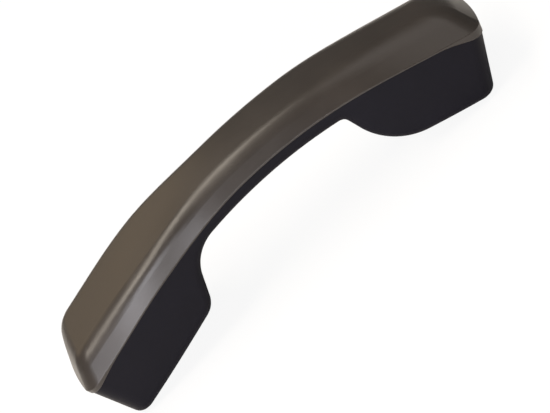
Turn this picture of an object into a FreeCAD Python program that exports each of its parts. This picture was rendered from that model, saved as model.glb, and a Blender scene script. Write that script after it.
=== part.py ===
import FreeCAD, Part
import math
import os
from collections import namedtuple

# A telephone handset lying cover side up, in millimetres.
# The ear end points along +X, the mouth end along -X, and Z is up.
# A station s is an arc length along the top line, measured from the crown of the arch.
# A depth is measured from that line towards the cups, square to it.

V = FreeCAD.Vector

# Arch of the top line: an arc in the neck, then straight over each cup
NECK_RADIUS = 267.5
MOUTH_TILT = math.radians(15.9)
EAR_TILT = math.radians(15.6)
MOUTH_REACH = 109.7
EAR_REACH = 107.3

# Outer cover, seen from above: even widths at the neck and ends, and bowed ends with round corners
NECK_WIDTH = 37.4
END_WIDTH = 47.4
NECK_STRAIGHT = 7.0
END_STRAIGHT = 12.8
END_CORNER = 7.6
MOUTH_BOW = 105.0
EAR_BOW = 80.0

# Top face of the outer cover, and the bevel round it
TOP_WIDTH = 27.6
TOP_STRAIGHT = 24.0
MOUTH_SWELL = 10.4
MOUTH_SWELL_FROM = 8.0
MOUTH_SWELL_TO = 56.0
MOUTH_TAPER = 2.0
MOUTH_TAPER_FROM = 58.0
EAR_TAPER = 9.4
EAR_TAPER_FROM = 30.0
TOP_CORNER = 7.2
TOP_ROUND = 4.2
TOP_CROWN = 0.6
CROWN_FADE = 30.0
MOUTH_BEVEL = 8.5
EAR_BEVEL = 9.5
EAR_ROUND = 9.5
BEVEL_LAND = 0.6
BEVEL_ROUND = 0.45

# Parting line between the two covers, which dips round both ends
PARTING_NECK = 8.9
MOUTH_PARTING = 10.2
EAR_PARTING = 8.6
PARTING_EVEN_FROM = 50.0
PARTING_END = 11.8
PARTING_DIP_FROM = 22.0
PARTING_DIP_TO = 1.0
SHADOW_STEP = 0.3
PARTING_GAP = 0.05

# Inner cover, seen from the side
NECK_DEPTH = 14.8
MOUTH_DEPTH = 35.2
MOUTH_BLEND = 17.5
MOUTH_SLOPE = math.radians(50.0)
MOUTH_CUP = 71.5
MOUTH_ROLL = 9.3
MOUTH_LEAN = math.radians(1.3)
EAR_BLEND = 3.0
EAR_SLOPE = math.radians(59.7)
EAR_CUP = 65.3
EAR_ROLL = 27.5
EAR_LEAN = math.radians(9.8)
LOWER_ROUND = 3.6

# Mouldings
WALL = 2.2
RIB = 1.2
RIB_HEIGHT = 2.0
LIP = 1.0
LIP_HEIGHT = 1.8
THREAD = 0.05
FIT = 0.15
FREE = 0.3

# Case screws, in wells under the neck, closed by plugs
CASE_SCREW_STATION = 31.0
CASE_SCREW_LENGTH = 7.0
CASE_SCREW_RADIUS = 1.3
SCREW_HEAD_RADIUS = 2.3
SCREW_HEAD = 1.5
WELL_RADIUS = 2.7
WELL_FLOOR = 1.6
PLUG = 1.0
BOSS_WALL = 1.7

# Ear seat and receiver capsule
RECEIVER_FROM_END = 24.4
DISH_RADIUS = 13.0
DISH = 1.2
SOUND_HOLE_RADIUS = 0.9
SOUND_RINGS = 3
SOUND_RING_PITCH = 4.2
CLOTH = 0.3
GASKET = 1.0
RECEIVER_RADIUS = 16.5
RECEIVER_SKIN = 0.7
RECEIVER_RIM = 2.0
CONE_RADIUS = 13.0
CONE_DOME = 1.7
CONE_SKIN = 0.3
TRAVEL = 0.25
COIL_RADIUS = 6.7
COIL_WALL = 0.6
COIL_HEIGHT = 3.4
AIR_GAP = 0.4
POLE_PLATE = 1.2
MAGNET = 2.8
YOKE = 1.2
YOKE_WALL = 1.6
BASKET = 1.2
BASKET_WINDOW = 4.4
TERMINAL_BOARD = 0.8
PAD = 2.0
PAD_SIZE = 8.0
CRADLE = 1.4
CRADLE_HEIGHT = 7.0
CRADLE_NOTCH = 4.0

# Microphone capsule in its rubber boot
MICROPHONE_FROM_END = 31.0
CAPSULE_RADIUS = 4.85
CAPSULE_HEIGHT = 6.3
CAPSULE_SKIN = 0.3
FELT = 0.3
CAPSULE_BOARD = 0.8
BOOT = 1.7
BOOT_LIP = 1.0
BOOT_SEAT = 5.0
TALK_HOLE_RADIUS = 0.8
TALK_HOLE_PITCH = 3.0

# Four-contact handset jack, in the end wall of the mouth cup
JACK_DEPTH = 22.6
JACK_WIDTH = 10.4
JACK_HEIGHT = 9.2
JACK_LENGTH = 14.0
JACK_SOCKET_WIDTH = 7.9
JACK_SOCKET_HEIGHT = 6.0
JACK_SOCKET_LENGTH = 12.2
JACK_SET_BACK = 0.5
LATCH_WIDTH = 3.4
LATCH_SHOULDER_WIDTH = 6.0
LATCH_DEPTH = 1.1
CONTACT_PITCH = 1.27
CONTACT = 0.4
BOARD = 1.6
BOARD_WIDTH = 25.0
BOARD_FROM_END = 6.6
BOARD_LENGTH = 15.6
BOARD_SCREW_BACK = 3.2
BOARD_SCREW_SPREAD = 9.5
BOARD_SCREW_RADIUS = 1.1
BOARD_SCREW_LENGTH = 7.0

# Steel weight in the neck
BALLAST_LENGTH = 46.0
BALLAST_WIDTH = 17.0
BALLAST = 5.6
BALLAST_DEPTH = 10.4
BALLAST_SCREW = 15.0
BALLAST_GRIP = 2.2

# Internal leads
LEAD_RADIUS = 0.5
LEAD_LANE = 11.8
LEAD_PITCH = 2.0
LEAD_DEPTH = 7.6
LEAD_DROP = 1.4


End = namedtuple("End", "name side tilt reach bow bevel parting depth blend slope foot roll lean")
Tip = namedtuple("Tip", "reach corner bow")
Ring = namedtuple("Ring", "half depth mouth ear")


def smooth(t):
    """Eased step from 0 to 1."""
    t = min(max(t, 0.0), 1.0)
    return math.sin(math.pi / 2 * t) ** 2


def spine(s):
    """Place and downward tilt of the top line at station s."""
    tilt = EAR_TILT if s > 0 else MOUTH_TILT
    side = 1 if s > 0 else -1
    angle = min(abs(s) / NECK_RADIUS, tilt)
    beyond = abs(s) - NECK_RADIUS * angle
    x = NECK_RADIUS * math.sin(angle) + beyond * math.cos(angle)
    z = -NECK_RADIUS * (1 - math.cos(angle)) - beyond * math.sin(angle)
    return side * x, z, side * angle


def at(s, y, depth):
    """Point at station s, beside the middle plane by y, below the top line by depth."""
    x, z, angle = spine(s)
    return V(x - depth * math.sin(angle), y, z - depth * math.cos(angle))


def along(s):
    """Direction of the top line at station s, towards the ear."""
    angle = spine(s)[2]
    return V(math.cos(angle), 0, -math.sin(angle))


def wall_back(end, depth):
    """How far an end wall has leaned in at a depth below the parting line."""
    return (depth - PARTING_END) * math.tan(end.lean)


def lowest(end, depth):
    """Height of the lowest point of a cup's rounded outer edge, for a cup of that depth."""
    middle = depth - LOWER_ROUND
    back = wall_back(end, middle) + SHADOW_STEP + LOWER_ROUND / math.cos(end.lean)
    return at(end.side * (end.reach - back), 0, middle).z - LOWER_ROUND


def level_depth(end, height):
    """Depth of cup whose outer edge stands at the same height as the other cup's."""
    none, one = lowest(end, 0.0), lowest(end, 1.0)
    return (height - none) / (one - none)


MOUTH = End("mouth", -1, MOUTH_TILT, MOUTH_REACH, MOUTH_BOW, MOUTH_BEVEL, MOUTH_PARTING,
            MOUTH_DEPTH, MOUTH_BLEND, MOUTH_SLOPE, MOUTH_REACH - MOUTH_CUP, MOUTH_ROLL, MOUTH_LEAN)
EAR = End("ear", 1, EAR_TILT, EAR_REACH, EAR_BOW, EAR_BEVEL, EAR_PARTING,
          0.0, EAR_BLEND, EAR_SLOPE, EAR_REACH - EAR_CUP, EAR_ROLL, EAR_LEAN)
TABLE = lowest(MOUTH, MOUTH_DEPTH)
EAR = EAR._replace(depth=level_depth(EAR, TABLE))
ENDS = (MOUTH, EAR)
ORIGIN = V((at(-MOUTH_REACH, 0, PARTING_END).x + at(EAR_REACH, 0, PARTING_END).x) / 2, 0, TABLE)

# Stations that follow from the reach of each end
MOUTH_STATION = MOUTH_REACH - MICROPHONE_FROM_END
EAR_STATION = EAR_REACH - RECEIVER_FROM_END
BOARD_END = MOUTH_REACH - BOARD_FROM_END
BOARD_START = BOARD_END - BOARD_LENGTH
BOARD_SCREW_STATION = BOARD_START + BOARD_SCREW_BACK

# Depths that follow from the cups
MOUTH_FLOOR = MOUTH.depth - WALL
EAR_FLOOR = EAR.depth - WALL - DISH
RECEIVER_FRONT = EAR_FLOOR - GASKET
CONE_REST = RECEIVER_FRONT - RECEIVER_SKIN - TRAVEL - FREE
COIL_TOP = CONE_REST - CONE_DOME
COIL_END = COIL_TOP - COIL_HEIGHT
POLE_FACE = COIL_TOP - TRAVEL - FREE
MAGNET_FACE = POLE_FACE - POLE_PLATE
YOKE_FACE = MAGNET_FACE - MAGNET
RECEIVER_BACK = YOKE_FACE - YOKE
YOKE_RADIUS = COIL_RADIUS + AIR_GAP + YOKE_WALL
PAD_FACE = RECEIVER_BACK - TERMINAL_BOARD - PAD
JACK_TOP = JACK_DEPTH - JACK_HEIGHT / 2
BOARD_TOP = JACK_TOP - BOARD
JACK_FRONT = MOUTH_REACH - SHADOW_STEP - wall_back(MOUTH, JACK_DEPTH) - JACK_SET_BACK
CAPSULE_FRONT = MOUTH_FLOOR - BOOT_LIP - FELT
CAPSULE_BACK = CAPSULE_FRONT - CAPSULE_HEIGHT
ROOF_GRIP = WALL / 2 + TOP_CROWN / 2
WELL_TOP = NECK_DEPTH - PLUG - SCREW_HEAD
BOSS_END = WELL_TOP - WELL_FLOOR


def station(s, y=0.0, depth=0.0):
    """Placement at a station: local X towards the ear, local Z up out of the cover."""
    return FreeCAD.Placement(at(s, y, depth), FreeCAD.Rotation(V(0, 1, 0), math.degrees(spine(s)[2])))


def place(shape, s, y=0.0, depth=0.0):
    """The shape moved from its own axes to a station."""
    moved = shape.copy()
    moved.Placement = station(s, y, depth).multiply(shape.Placement)
    return moved


def disc(radius, low, high, x=0.0, y=0.0):
    """Upright cylinder between two depths, the deeper one first."""
    return Part.makeCylinder(radius, low - high, V(x, y, -low))


def tube(outer, inner, low, high, x=0.0, y=0.0):
    """Upright ring between two depths, the deeper one first."""
    return disc(outer, low, high, x, y).cut(disc(inner, low + 1, high - 1, x, y))


def block(x0, x1, y0, y1, low, high):
    """Box between two depths, the deeper one first."""
    return Part.makeBox(x1 - x0, y1 - y0, low - high, V(x0, y0, -low))


def fuse_all(shapes):
    """One solid from several that meet."""
    whole = shapes[0].fuse(shapes[1:]) if len(shapes) > 1 else shapes[0]
    return whole.removeSplitter()


def turned(points):
    """Solid of revolution about the local Z axis from (radius, height) corners."""
    outline = [V(r, 0, z) for r, z in points]
    return Part.Face(Part.makePolygon(outline + outline[:1])).revolve(V(0, 0, 0), V(0, 0, 1), 360)


def end_of(s):
    """The end that a station belongs to."""
    return EAR if s > 0 else MOUTH


def cover_half(s):
    """Half width of the covers, even across the middle of the neck and at each end."""
    flare_end = end_of(s).reach - END_STRAIGHT
    flare = (abs(s) - NECK_STRAIGHT) / (flare_end - NECK_STRAIGHT)
    return (NECK_WIDTH + (END_WIDTH - NECK_WIDTH) * smooth(flare)) / 2


def top_half(s):
    """Half width of the top face: swollen where the mouth cup starts, drawn in over the ear."""
    swell = smooth((-s - MOUTH_SWELL_FROM) / (MOUTH_SWELL_TO - MOUTH_SWELL_FROM))
    steady = end_of(s).reach - TOP_STRAIGHT
    mouth = smooth((-s - MOUTH_TAPER_FROM) / (steady - MOUTH_TAPER_FROM))
    ear = smooth((s - EAR_TAPER_FROM) / (steady - EAR_TAPER_FROM))
    return (TOP_WIDTH + MOUTH_SWELL * swell - MOUTH_TAPER * mouth - EAR_TAPER * ear) / 2


def crown(s):
    """Rise of the top face's middle over its edges, which fades out towards both ends."""
    return TOP_CROWN * smooth((end_of(s).reach - TOP_STRAIGHT - abs(s)) / CROWN_FADE)


def side_depth(s):
    """Depth of the parting line along the sides, before it dips."""
    return PARTING_NECK + (end_of(s).parting - PARTING_NECK) * smooth(abs(s) / PARTING_EVEN_FROM)


def parting_depth(s):
    """Depth of the parting line, which dips round both ends."""
    end = end_of(s)
    into_dip = abs(s) - (end.reach - PARTING_DIP_FROM)
    dip = smooth(into_dip / (PARTING_DIP_FROM - PARTING_DIP_TO))
    return side_depth(s) + (PARTING_END - end.parting) * dip


def curve(points, first, last):
    """One smooth edge through evenly timed points, with its directions at both ends."""
    steps = len(points) - 1
    line = Part.BSplineCurve()
    line.interpolate(Points=points, Parameters=[i / steps for i in range(steps + 1)],
                     InitialTangent=first, FinalTangent=last)
    return line.toShape()


def side_edge(half, depth, start, end, side, count=21):
    """Long edge of a cover on one side, from the mouth towards the ear."""
    stations = [start + (end - start) * i / (count - 1) for i in range(count)]
    points = [at(s, side * half(s), depth(s)) for s in stations]
    return curve(points, along(start), along(end))


def tip_angle(tip, half):
    """Angle through which the bowed end line turns, from its middle to a corner."""
    return math.asin((half - tip.corner) / (tip.bow - tip.corner))


def corner_reach(tip, half):
    """Distance out to where a side meets its corner."""
    return tip.reach - tip.bow + (tip.bow - tip.corner) * math.cos(tip_angle(tip, half))


def end_edges(end, tip, half, depth):
    """Corner, bowed end line and corner of a ring, from the -Y side to the +Y side."""
    outwards = along(end.side * end.reach) * end.side
    turn = tip_angle(tip, half)
    corner = corner_reach(tip, half)
    inner = half - tip.corner

    def arc(reach, y, radius, first, last, steps=4):
        angles = [first + (last - first) * i / steps for i in range(steps + 1)]
        points = [at(end.side * (reach + radius * math.cos(a)), y + radius * math.sin(a), depth)
                  for a in angles]
        ways = [V(0, math.cos(a), 0) - outwards * math.sin(a) for a in (first, last)]
        return curve(points, ways[0], ways[1])

    return [arc(corner, -inner, tip.corner, -math.pi / 2, -turn),
            arc(tip.reach - tip.bow, 0, tip.bow, -turn, turn),
            arc(corner, inner, tip.corner, turn, math.pi / 2)]


def side_span(ring):
    """Stations between which a ring's long sides run."""
    start = -corner_reach(ring.mouth, ring.half(-ring.mouth.reach))
    return start, corner_reach(ring.ear, ring.half(ring.ear.reach))


def outline(ring):
    """Edges of a ring: its two long sides, then its mouth end and its ear end."""
    start, end = side_span(ring)
    sides = [side_edge(ring.half, ring.depth, start, end, side) for side in (-1, 1)]
    mouth = end_edges(MOUTH, ring.mouth, ring.half(-ring.mouth.reach), ring.depth(start))
    ear = end_edges(EAR, ring.ear, ring.half(ring.ear.reach), ring.depth(end))
    return sides + mouth + ear


def end_caps(edges):
    """Flat pieces that close the two ends of an outline."""
    faces = []
    for arcs in (edges[2:5], edges[5:8]):
        chord = Part.LineSegment(arcs[-1].Vertexes[-1].Point, arcs[0].Vertexes[0].Point).toShape()
        faces.append(Part.Face(Part.Wire(arcs + [chord])))
    return faces


def cap(edges):
    """Faces that close an outline: one ruled strip over the arch and a flat piece at each end."""
    return [Part.makeRuledSurface(edges[0], edges[1])] + end_caps(edges)


def ruled(low, high):
    """Ruled faces from one outline to another."""
    return [Part.makeRuledSurface(a, b) for a, b in zip(low, high)]


def rolled(first, middle, last):
    """Face that leaves one edge towards a middle edge and comes from it to the last."""
    lines = [edge.Curve for edge in (first, middle, last)]
    poles = [list(row) for row in zip(*[line.getPoles() for line in lines])]
    surface = Part.BSplineSurface()
    surface.buildFromPolesMultsKnots(poles, lines[0].getMultiplicities(), (3, 3),
                                     lines[0].getKnots(), (0.0, 1.0), False, False, lines[0].Degree, 2)
    return surface.toShape()


def between(a, b, t):
    """Edge that lies part of the way from one edge to another."""
    line = a.Curve.copy()
    for i, (p, q) in enumerate(zip(a.Curve.getPoles(), b.Curve.getPoles())):
        line.setPole(i + 1, p * (1 - t) + q * t)
    return line.toShape()


def closed(faces):
    """Solid inside a closed set of faces."""
    shell = Part.makeShell(faces)
    shell.sewShape()
    solid = Part.makeSolid(shell)
    if solid.Volume < 0:
        solid.reverse()
    return solid


def hull(rings):
    """Solid through a row of rings, ruled from each to the next."""
    edges = [outline(ring) for ring in rings]
    faces = cap(edges[0]) + cap(edges[-1])
    for low, high in zip(edges, edges[1:]):
        faces += ruled(low, high)
    return closed(faces)


def wall_ring(inset, depth):
    """Outline of the covers' walls at some depth, or a smaller one inside it."""
    tips = [Tip(end.reach - inset, END_CORNER - inset, end.bow - inset) for end in ENDS]
    return Ring(lambda s: cover_half(s) - inset, depth, tips[0], tips[1])


def bevel_foot(s):
    """Depth at which the bevel meets the upright wall, a little above the parting line."""
    return side_depth(s) - BEVEL_LAND


def top_ring(inset, depth, ear_inset):
    """Outline of the top face's edge, or a smaller one inside it."""
    tips = [Tip(end.reach - end.bevel - back, TOP_CORNER - inset, end.bow - end.bevel - back)
            for end, back in ((MOUTH, inset), (EAR, ear_inset))]
    return Ring(lambda s: top_half(s) - inset, depth, tips[0], tips[1])


def roof():
    """Arched top, rolled edge, bevel and upright wall of the outer cover, down to the parting line."""
    deepest = PARTING_END + LIP_HEIGHT
    crease_ring = top_ring(0.0, lambda s: crown(s) * (1 - (TOP_ROUND / top_half(s)) ** 2), 0.0)
    flat_ring = top_ring(TOP_ROUND, lambda s: crown(s) * (1 - TOP_ROUND / top_half(s)) ** 2, EAR_ROUND)
    low, base = outline(wall_ring(0.0, lambda s: deepest)), outline(wall_ring(0.0, bevel_foot))
    crease, flat = outline(crease_ring), outline(flat_ring)
    below = [between(a, b, BEVEL_ROUND) for a, b in zip(crease, base)]
    start, end = side_span(flat_ring)
    middle = side_edge(lambda s: 0.0, lambda s: -flat_ring.depth(s), start, end, 1)
    faces = cap(low) + ruled(low, base) + ruled(base, below)
    faces += [rolled(a, b, c) for a, b, c in zip(below, crease, flat)]
    faces += [rolled(flat[0], middle, flat[1])] + end_caps(flat)
    return closed(faces).common(layer(0.0, -2 * deepest))


def roof_hollow(inset):
    """Room inside the outer cover, drawn down past the parting line."""
    edge = SHADOW_STEP + inset
    deepest = PARTING_END + LIP_HEIGHT + LIP
    return hull([wall_ring(edge, lambda s: deepest), wall_ring(edge, bevel_foot),
                 top_ring(inset / 2, lambda s: inset + crown(s), inset / 2)])


def parting_edges(lowered):
    """The parting line seen from the side, drawn out past both ends."""
    spare = WALL * 4
    stations = [-MOUTH_REACH, PARTING_DIP_FROM - MOUTH_REACH, EAR_REACH - PARTING_DIP_FROM, EAR_REACH]

    def stretch(start, end, count):
        return side_edge(lambda s: 0, lambda s: parting_depth(s) + lowered, start, end, 1, count)

    dips = [stretch(stations[0], stations[1], 9), stretch(stations[2], stations[3], 9)]
    middle = stretch(stations[1], stations[2], 17)
    first = at(-(MOUTH_REACH + spare), 0, PARTING_END + lowered)
    last = at(EAR_REACH + spare, 0, PARTING_END + lowered)
    return [Part.LineSegment(first, dips[0].Vertexes[0].Point).toShape(), dips[0], middle, dips[1],
            Part.LineSegment(dips[1].Vertexes[-1].Point, last).toShape()]


def drawn_sideways(edges):
    """Slab whose side view is the closed outline that the edges make."""
    face = Part.Face(Part.Wire(Part.sortEdges(edges)[0]))
    face.translate(V(0, -END_WIDTH, 0))
    return face.extrude(V(0, 2 * END_WIDTH, 0))


def layer(low, high):
    """Everything between two levels about the parting line, drawn out past the covers."""
    lower, upper = parting_edges(low), parting_edges(high)
    walls = [Part.LineSegment(lower[i].Vertexes[i].Point, upper[i].Vertexes[i].Point).toShape()
             for i in (0, -1)]
    return drawn_sideways(lower + upper + walls)


def band(inset, low, high):
    """Upright-sided form between two levels about the parting line."""
    lowest_ring = wall_ring(inset, lambda s: PARTING_END + low + LIP)
    sides = hull([lowest_ring, wall_ring(inset, lambda s: side_depth(s) + high - LIP)])
    return sides.common(layer(low, high))


def end_frame(end, u, depth):
    """Placement in one end's straight part: local X outwards, Z towards the top line."""
    turn = FreeCAD.Rotation(V(0, 1, 0), end.side * math.degrees(end.tilt))
    if end.side < 0:
        turn = turn.multiply(FreeCAD.Rotation(V(0, 0, 1), 180))
    start = NECK_RADIUS * end.tilt
    return FreeCAD.Placement(at(end.side * start, 0, 0) + turn.multVec(V(u - start, 0, -depth)), turn)


def round_off(corner, before, after, radius):
    """Tangent points and middle of the arc that rounds the corner between two lines."""
    back = (before - corner).normalize()
    on = (after - corner).normalize()
    half_angle = back.getAngle(on) / 2
    reach = radius / math.tan(half_angle)
    middle = corner + (back + on).normalize() * (radius / math.sin(half_angle) - radius)
    return corner + back * reach, middle, corner + on * reach


def cup_profile(end, inset):
    """Edges from the neck's underside down the slope and along the face, past the end wall."""
    frame = end_frame(end, 0, 0)
    way = frame.Rotation.multVec(V(math.cos(end.slope), 0, -math.sin(end.slope)))
    inwards = frame.Rotation.multVec(V(math.sin(end.slope), 0, math.cos(end.slope)))
    up = frame.Rotation.multVec(V(0, 0, 1))
    start = at(end.side * end.foot, 0, NECK_DEPTH) + inwards * inset
    face_point = frame.multVec(V(0, 0, inset - end.depth))
    corner = start + way * ((start - face_point).dot(up) / -way.dot(up))
    far = end_frame(end, end.reach + WALL * 4, end.depth - inset).Base
    roll_in, roll_middle, roll_out = round_off(corner, start, far, end.roll - inset)
    # The blend is tangent to the slope and to the round underside of the neck
    blend = end.blend + inset
    underside = NECK_RADIUS - NECK_DEPTH + inset
    centre = V(0, 0, -NECK_RADIUS)
    from_centre = start - inwards * blend - centre
    b = from_centre.dot(way)
    c = from_centre.dot(from_centre) - (underside - blend) ** 2
    blend_centre = centre + from_centre + way * (-b - math.sqrt(b * b - c))
    neck_end = centre + (blend_centre - centre).normalize() * underside
    slope_top = blend_centre + inwards * blend
    half_way = ((neck_end + slope_top) * 0.5 - blend_centre).normalize()
    edges = [Part.Arc(neck_end, blend_centre + half_way * blend, slope_top).toShape(),
             Part.LineSegment(slope_top, roll_in).toShape(),
             Part.Arc(roll_in, roll_middle, roll_out).toShape(),
             Part.LineSegment(roll_out, far).toShape()]
    return edges, neck_end, far


def side_slab(inset, lowered):
    """Everything between the parting line and the lower outline, drawn out sideways."""
    ear, ear_neck, ear_far = cup_profile(EAR, inset)
    mouth, mouth_neck, mouth_far = cup_profile(MOUTH, inset)
    under = Part.Arc(mouth_neck, at(0, 0, NECK_DEPTH - inset), ear_neck).toShape()
    top = parting_edges(lowered)
    walls = [Part.LineSegment(top[0].Vertexes[0].Point, mouth_far).toShape(),
             Part.LineSegment(top[-1].Vertexes[-1].Point, ear_far).toShape()]
    return drawn_sideways(top + mouth + [under] + ear + walls)


def plan_prism(end, inset):
    """Side walls and rounded end wall of one half, which lean in towards the cup's face."""
    edge = inset + SHADOW_STEP
    tip = Tip(end.reach - edge, END_CORNER - edge, end.bow - edge)
    full = END_WIDTH / 2 - edge
    narrow = NECK_WIDTH / 2 - edge
    turn, corner = tip_angle(tip, full), corner_reach(tip, full)
    back = -NECK_STRAIGHT * 3
    above = end.reach / 3
    height = end.reach * 0.8
    steps = 12
    stations = [NECK_STRAIGHT + (corner - NECK_STRAIGHT) * i / steps for i in range(steps + 1)]
    flare = curve([V(u, edge - cover_half(end.side * u), 0) for u in stations], V(1, 0, 0), V(1, 0, 0))

    def arc(centre_u, centre_y, radius, first, last):
        angles = (first, (first + last) / 2, last)
        return Part.Arc(*[V(centre_u + radius * math.cos(a), centre_y + radius * math.sin(a), 0)
                          for a in angles])

    edges = [Part.LineSegment(V(back, 0, 0), V(back, -narrow, 0)).toShape(),
             Part.LineSegment(V(back, -narrow, 0), V(NECK_STRAIGHT, -narrow, 0)).toShape(),
             flare,
             arc(corner, tip.corner - full, tip.corner, -math.pi / 2, -turn).toShape(),
             arc(tip.reach - tip.bow, 0, tip.bow, -turn, 0).toShape()]
    mirrored = [edge.mirror(V(0, 0, 0), V(0, 1, 0)) for edge in edges]
    face = Part.Face(Part.Wire(Part.sortEdges(edges + mirrored)[0]))
    prism = face.extrude(V(-height * math.tan(end.lean), 0, -height))
    prism.translate(V(above * math.tan(end.lean), 0, above))
    prism.Placement = end_frame(end, 0, PARTING_END).multiply(prism.Placement)
    room = end.reach * 2
    keep = Part.makeBox(room, room, 2 * room, V(0 if end.side > 0 else -room, -room / 2, -room))
    return prism.common(keep)


def trough(inset, lowered=0.0):
    """Neck and cups below the parting line, or their hollow when inset by a wall."""
    slab = side_slab(inset, lowered)
    halves = [slab.common(plan_prism(end, inset)) for end in ENDS]
    return halves[0].fuse(halves[1]).removeSplitter()


def round_lower_edges(body):
    """The lower rim of the neck and cups, rounded all the way round."""
    parting = Part.Wire(parting_edges(0.0))
    rim = []
    for edge in body.Edges:
        a, b = edge.Vertexes[0].Point, edge.Vertexes[-1].Point
        touching = [parting.distToShape(Part.Vertex(V(p.x, 0, p.z)))[0] < FREE for p in (a, b)]
        across = a.y * b.y < 0 and min(abs(a.y), abs(b.y)) > NECK_WIDTH / 2 - WALL
        if not any(touching) and not across:
            rim.append(edge)
    return body.makeFillet(LOWER_ROUND, rim)


def screw(radius, length, head_radius, head):
    """Pan head screw with a cross recess: its head stands on Z = 0 and its shank goes down."""
    dome = head * 0.35
    body = turned([(0, -length), (radius * 0.6, -length), (radius, -length + radius), (radius, 0),
                   (head_radius, 0), (head_radius, head - dome), (head_radius - dome, head), (0, head)])
    arm = head_radius * 0.62
    slot = head_radius * 0.13
    for half_x, half_y in ((arm, slot), (slot, arm)):
        body = body.cut(block(-half_x, half_x, -half_y, half_y, -head / 2, -head - 1))
    return body


def upside_down(shape):
    """The shape turned over about the local X axis."""
    turned_over = shape.copy()
    turned_over.rotate(V(0, 0, 0), V(1, 0, 0), 180)
    return turned_over


def screw_stations():
    """Stations of the two case screws."""
    return (-CASE_SCREW_STATION, CASE_SCREW_STATION)


def outer_cover():
    """Grey back cover: roof, lip, ribs, screw bosses, and the posts that hold the capsule and board."""
    hollow = roof_hollow(WALL)
    shell = roof().cut(hollow)
    lip = band(WALL, LIP_HEIGHT, -LIP).common(trough(WALL + FIT, -2 * LIP))
    lip = lip.cut(band(SHADOW_STEP + WALL + FIT + LIP, LIP_HEIGHT + LIP, -2 * LIP))
    room = roof_hollow(WALL / 2)
    inside = []
    for s in (-58.0, -44.0, -8.0, 8.0, 44.0, 58.0):
        rib = block(-RIB / 2, RIB / 2, -END_WIDTH, END_WIDTH, WALL + RIB_HEIGHT, ROOF_GRIP)
        inside.append(place(rib, s))
    for s in screw_stations():
        inside.append(place(disc(CASE_SCREW_RADIUS + BOSS_WALL, BOSS_END, ROOF_GRIP), s))
    arm = PAD_SIZE / 2
    for half_x, half_y in ((arm, RIB / 2), (RIB / 2, arm)):
        inside.append(place(block(-half_x, half_x, -half_y, half_y, PAD_FACE, ROOF_GRIP), EAR_STATION))
    inside = [piece.common(room) if piece.BoundBox.YLength > NECK_WIDTH else piece for piece in inside]
    cover = fuse_all([shell, lip] + inside)
    for s in screw_stations():
        hole = disc(CASE_SCREW_RADIUS + THREAD, BOSS_END + 1, WELL_TOP - CASE_SCREW_LENGTH - FREE)
        cover = cover.cut(place(hole, s))
    return cover


def sound_holes():
    """Rings of holes under the ear seat."""
    holes = []
    for ring in range(SOUND_RINGS):
        radius, count = ring * SOUND_RING_PITCH, max(6 * ring, 1)
        for i in range(count):
            turn = 2 * math.pi * i / count
            x, y = radius * math.cos(turn), radius * math.sin(turn)
            holes.append(disc(SOUND_HOLE_RADIUS, EAR.depth + 1, EAR_FLOOR - 1, x, y))
    return Part.makeCompound(holes)


def dish():
    """Ball whose underside hollows the ear seat."""
    radius = (DISH_RADIUS ** 2 + DISH ** 2) / (2 * DISH)
    return Part.makeSphere(radius, V(0, 0, -EAR.depth - radius + DISH))


def jack_window():
    """Opening in the end wall that shows the jack."""
    half_y, half_z = JACK_WIDTH / 2 + FIT, JACK_HEIGHT / 2 + FIT
    return block(-JACK_FRONT - 2 * WALL, -JACK_FRONT + 2 * WALL, -half_y, half_y,
                 JACK_DEPTH + half_z, JACK_DEPTH - half_z)


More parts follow.
